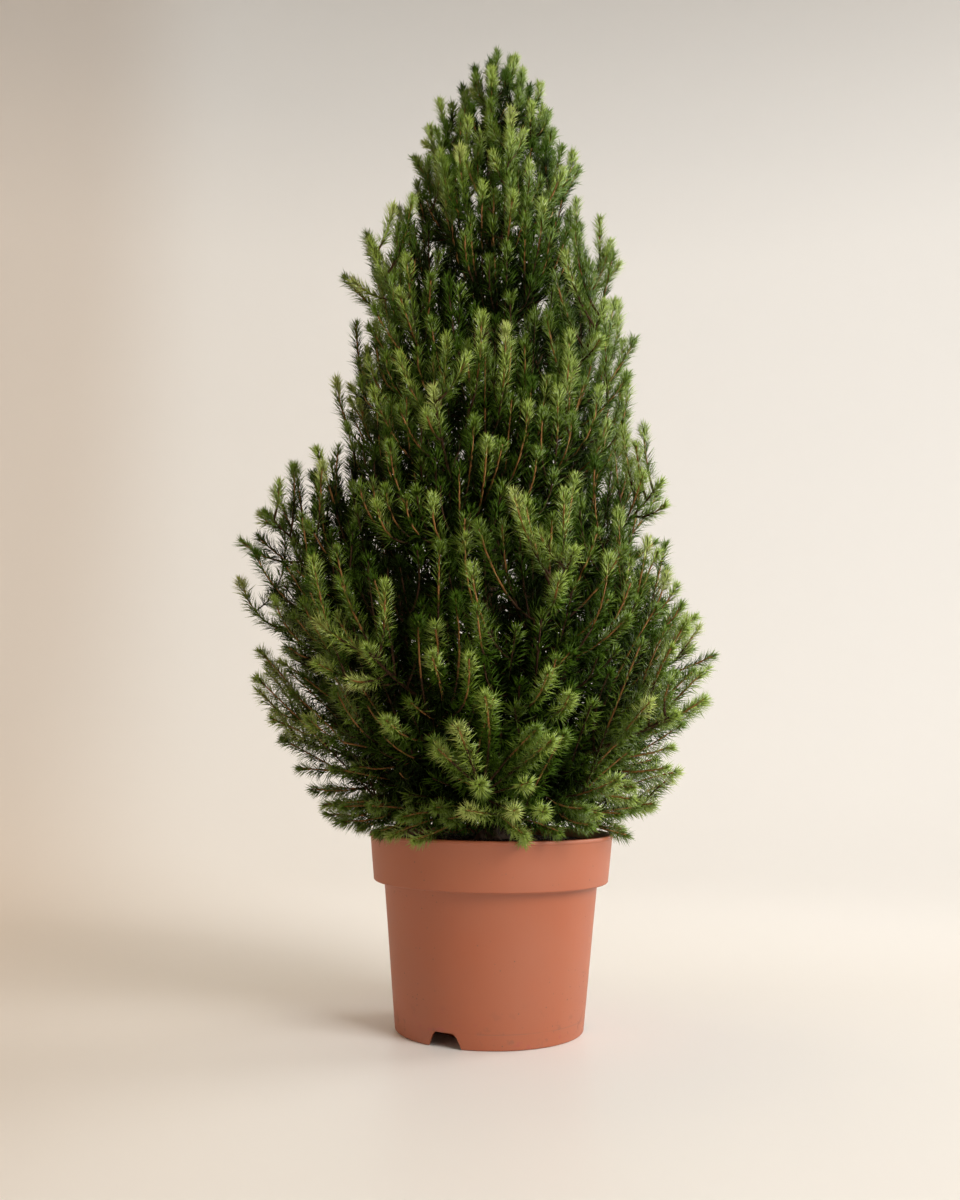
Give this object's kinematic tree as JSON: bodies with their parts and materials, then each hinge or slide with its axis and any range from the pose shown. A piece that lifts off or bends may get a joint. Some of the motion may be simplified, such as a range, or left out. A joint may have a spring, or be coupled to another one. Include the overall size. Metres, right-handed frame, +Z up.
{
  "type": "potted dwarf spruce",
  "caption": "Dwarf conifer with a dense conical crown of short needles on upswept boughs, standing in a plain terracotta-coloured plastic nursery pot.",
  "frame": {"origin": "the middle of the pot's flat underside, on the ground", "axes": "+Z up along the pot's axis towards the tree's tip, -Y the tree's front, +X the right of the front"},
  "size_m": [0.4323, 0.447, 0.8926],
  "materials": {
    "pot": "satin moulded plastic, terracotta brown",
    "soil": "moist peat mix with bits of bark",
    "bark": "thin flaky grey-brown bark, orange-tan on young twigs",
    "needles_deep": "older needles, dark green",
    "needles_mid": "grown needles, mid green",
    "needles_fresh": "new needles, yellow green"
  },
  "bodies": {
    "root": {"pot": "pot", "soil": "soil", "trunk": "bark", "bough_01": "bark", "foliage_01": "needles_mid", "bough_02": "bark", "foliage_02": "needles_fresh", "bough_03": "bark", "foliage_03": "needles_deep", "bough_04": "bark", "foliage_04": "needles_mid", "bough_05": "bark", "foliage_05": "needles_fresh", "bough_06": "bark", "foliage_06": "needles_deep", "bough_07": "bark", "foliage_07": "needles_mid", "bough_08": "bark", "foliage_08": "needles_fresh", "bough_09": "bark", "foliage_09": "needles_deep", "bough_10": "bark", "foliage_10": "needles_mid", "bough_11": "bark", "foliage_11": "needles_fresh", "bough_12": "bark", "foliage_12": "needles_deep", "bough_13": "bark", "foliage_13": "needles_mid", "bough_14": "bark", "foliage_14": "needles_fresh", "bough_15": "bark", "foliage_15": "needles_deep", "bough_16": "bark", "foliage_16": "needles_mid", "bough_17": "bark", "foliage_17": "needles_fresh", "bough_18": "bark", "foliage_18": "needles_deep", "bough_19": "bark", "foliage_19": "needles_mid", "bough_20": "bark", "foliage_20": "needles_fresh", "bough_21": "bark", "foliage_21": "needles_deep", "bough_22": "bark", "foliage_22": "needles_mid", "bough_23": "bark", "foliage_23": "needles_fresh", "bough_24": "bark", "foliage_24": "needles_deep", "bough_25": "bark", "foliage_25": "needles_mid", "bough_26": "bark", "foliage_26": "needles_fresh", "foliage_leader": "needles_deep"}
  },
  "joints": []
}
